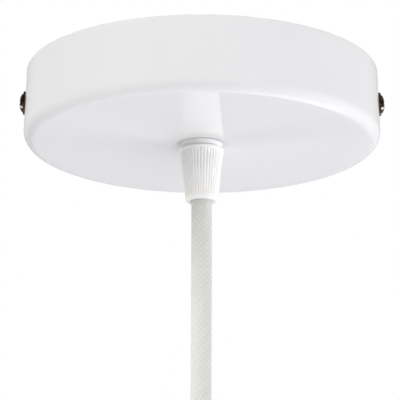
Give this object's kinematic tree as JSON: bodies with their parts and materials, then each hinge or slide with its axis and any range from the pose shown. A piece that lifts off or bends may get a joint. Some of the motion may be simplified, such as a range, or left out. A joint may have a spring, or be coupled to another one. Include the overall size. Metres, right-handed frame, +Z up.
{
  "type": "ceiling canopy",
  "caption": "Round white steel ceiling canopy with bronze side screws, inner bracket, ribbed plastic cord grip, terminal strip and white textile cable hanging straight down.",
  "frame": {"origin": "middle of the ceiling bracket's back face, in the ceiling plane, on the canopy's axis", "axes": "+Z up into the ceiling along the canopy's axis, +X along the bracket through the right side screw, -Y towards the viewer"},
  "size_m": [0.1238, 0.1216, 0.1406],
  "materials": {
    "white_enamel": "semi-gloss white powder coat",
    "zinc_steel": "zinc-plated",
    "dark_bronze": "dark bronze plated, glossy",
    "white_plastic": "moulded, semi-gloss",
    "washer_plastic": "moulded, matt",
    "white_braid": "fine textile braid",
    "block_plastic": "moulded polyamide",
    "brass": "machined",
    "tinned_steel": "tin-plated",
    "brown_insulation": "smooth",
    "blue_insulation": "smooth",
    "earth_insulation": "smooth, green with a yellow stripe",
    "clear_sleeve": "shrunk white sleeve"
  },
  "bodies": {
    "root": {"canopy_cup": "white_enamel", "ceiling_bracket": "zinc_steel", "side_screw_left": "dark_bronze", "side_screw_right": "dark_bronze", "grip_body": "white_plastic", "grip_cone": "white_plastic", "grip_washer": "washer_plastic", "grip_nut": "white_plastic", "cable_held": "white_braid", "terminal_housing": "block_plastic", "core_live": "brown_insulation", "core_neutral": "blue_insulation", "core_earth": "earth_insulation", "terminal_tube_1": "brass", "terminal_tube_2": "brass", "terminal_tube_3": "brass", "terminal_screw_1": "tinned_steel", "terminal_screw_2": "tinned_steel", "terminal_screw_3": "tinned_steel", "terminal_screw_4": "tinned_steel", "terminal_screw_5": "tinned_steel", "terminal_screw_6": "tinned_steel", "earth_ring": "tinned_steel", "earth_washer": "zinc_steel", "earth_screw": "zinc_steel", "earth_lead": "earth_insulation", "cable_free": "white_braid", "end_sleeve": "clear_sleeve", "end_core_live": "brown_insulation", "end_core_neutral": "blue_insulation", "end_core_earth": "earth_insulation", "end_ferrule_live": "tinned_steel", "end_ferrule_neutral": "tinned_steel", "end_ferrule_earth": "tinned_steel"}
  },
  "joints": []
}
